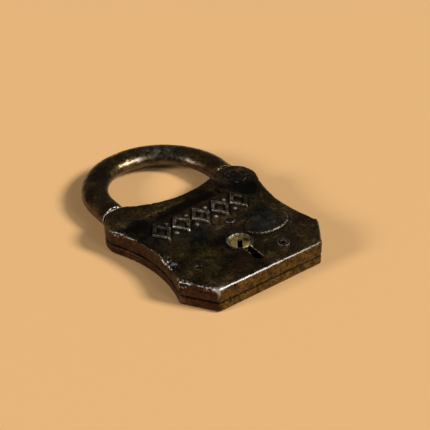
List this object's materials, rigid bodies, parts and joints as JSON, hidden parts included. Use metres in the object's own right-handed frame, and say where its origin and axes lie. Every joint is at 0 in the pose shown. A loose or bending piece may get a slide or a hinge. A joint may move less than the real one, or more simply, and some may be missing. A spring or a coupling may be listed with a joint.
{
  "type": "rusty padlock",
  "caption": "Flat cast lever padlock with a hinged oval-bar shackle, a turning keyhole drum and a sliding bolt under pivoted levers, worn and rust browned.",
  "frame": {"origin": "on the back face, on the case's centre line, level with the keyhole", "axes": "+Y from the foot towards the shackle, +Z out of the face with the keyhole, +X to the right seen from the front"},
  "size_m": [0.0649, 0.0975, 0.0108],
  "materials": {
    "case_front": "worn dark casting, polished by handling",
    "case_back": "rust browned casting",
    "shackle_steel": "forged, rust browned and rubbed",
    "rivet_steel": "hammered and dark",
    "drum_brass": "turned, tarnished",
    "lever_brass": "stamped sheet, tarnished",
    "inner_steel": "milled, oily brown",
    "spring_steel": "blued strip"
  },
  "bodies": {
    "case": {"front_case": "case_front", "back_case": "case_back", "pivot_rivet": "rivet_steel", "guide_rivet": "rivet_steel", "ring_rivet": "rivet_steel", "side_rivet": "rivet_steel", "guide_stud": "inner_steel", "drum_spring": "spring_steel", "lever_post": "inner_steel", "post_washer": "inner_steel"},
    "shackle": {"shackle": "shackle_steel"},
    "drum": {"keyhole_drum": "drum_brass"},
    "bolt": {"bolt": "inner_steel", "bolt_stump": "inner_steel"},
    "lever_1": {"lever_1": "lever_brass", "lever_spring_1": "spring_steel"},
    "lever_2": {"lever_2": "lever_brass", "lever_spring_2": "spring_steel"},
    "lever_3": {"lever_3": "lever_brass", "lever_spring_3": "spring_steel"}
  },
  "joints": [
    {"name": "shackle_swing", "type": "hinge", "parent": "case", "child": "shackle", "pos_m": [0.0229, 0.034, 0.005], "axis": [0, 0, -1], "range_deg": [0, 85]},
    {"name": "drum_turn", "type": "hinge", "parent": "case", "child": "drum", "pos_m": [-0.0005, 0, 0.005], "axis": [0, 0, 1], "continuous": true},
    {"name": "bolt_slide", "type": "slide", "parent": "case", "child": "bolt", "axis": [-1, 0, 0], "range_m": [0, 0.0045]},
    {"name": "lever_1_lift", "type": "hinge", "parent": "case", "child": "lever_1", "pos_m": [0.0175, 0.012, 0.0043], "axis": [0, 0, -1], "range_deg": [0, 3]},
    {"name": "lever_2_lift", "type": "hinge", "parent": "case", "child": "lever_2", "pos_m": [0.0175, 0.012, 0.0055], "axis": [0, 0, -1], "range_deg": [0, 3]},
    {"name": "lever_3_lift", "type": "hinge", "parent": "case", "child": "lever_3", "pos_m": [0.0175, 0.012, 0.0067], "axis": [0, 0, -1], "range_deg": [0, 3]}
  ],
  "couplings": [
    {"joint": "lever_1_lift", "follows": "bolt_slide", "rad_per_m": 11.63},
    {"joint": "lever_2_lift", "follows": "bolt_slide", "rad_per_m": 11.63},
    {"joint": "lever_3_lift", "follows": "bolt_slide", "rad_per_m": 11.63}
  ]
}
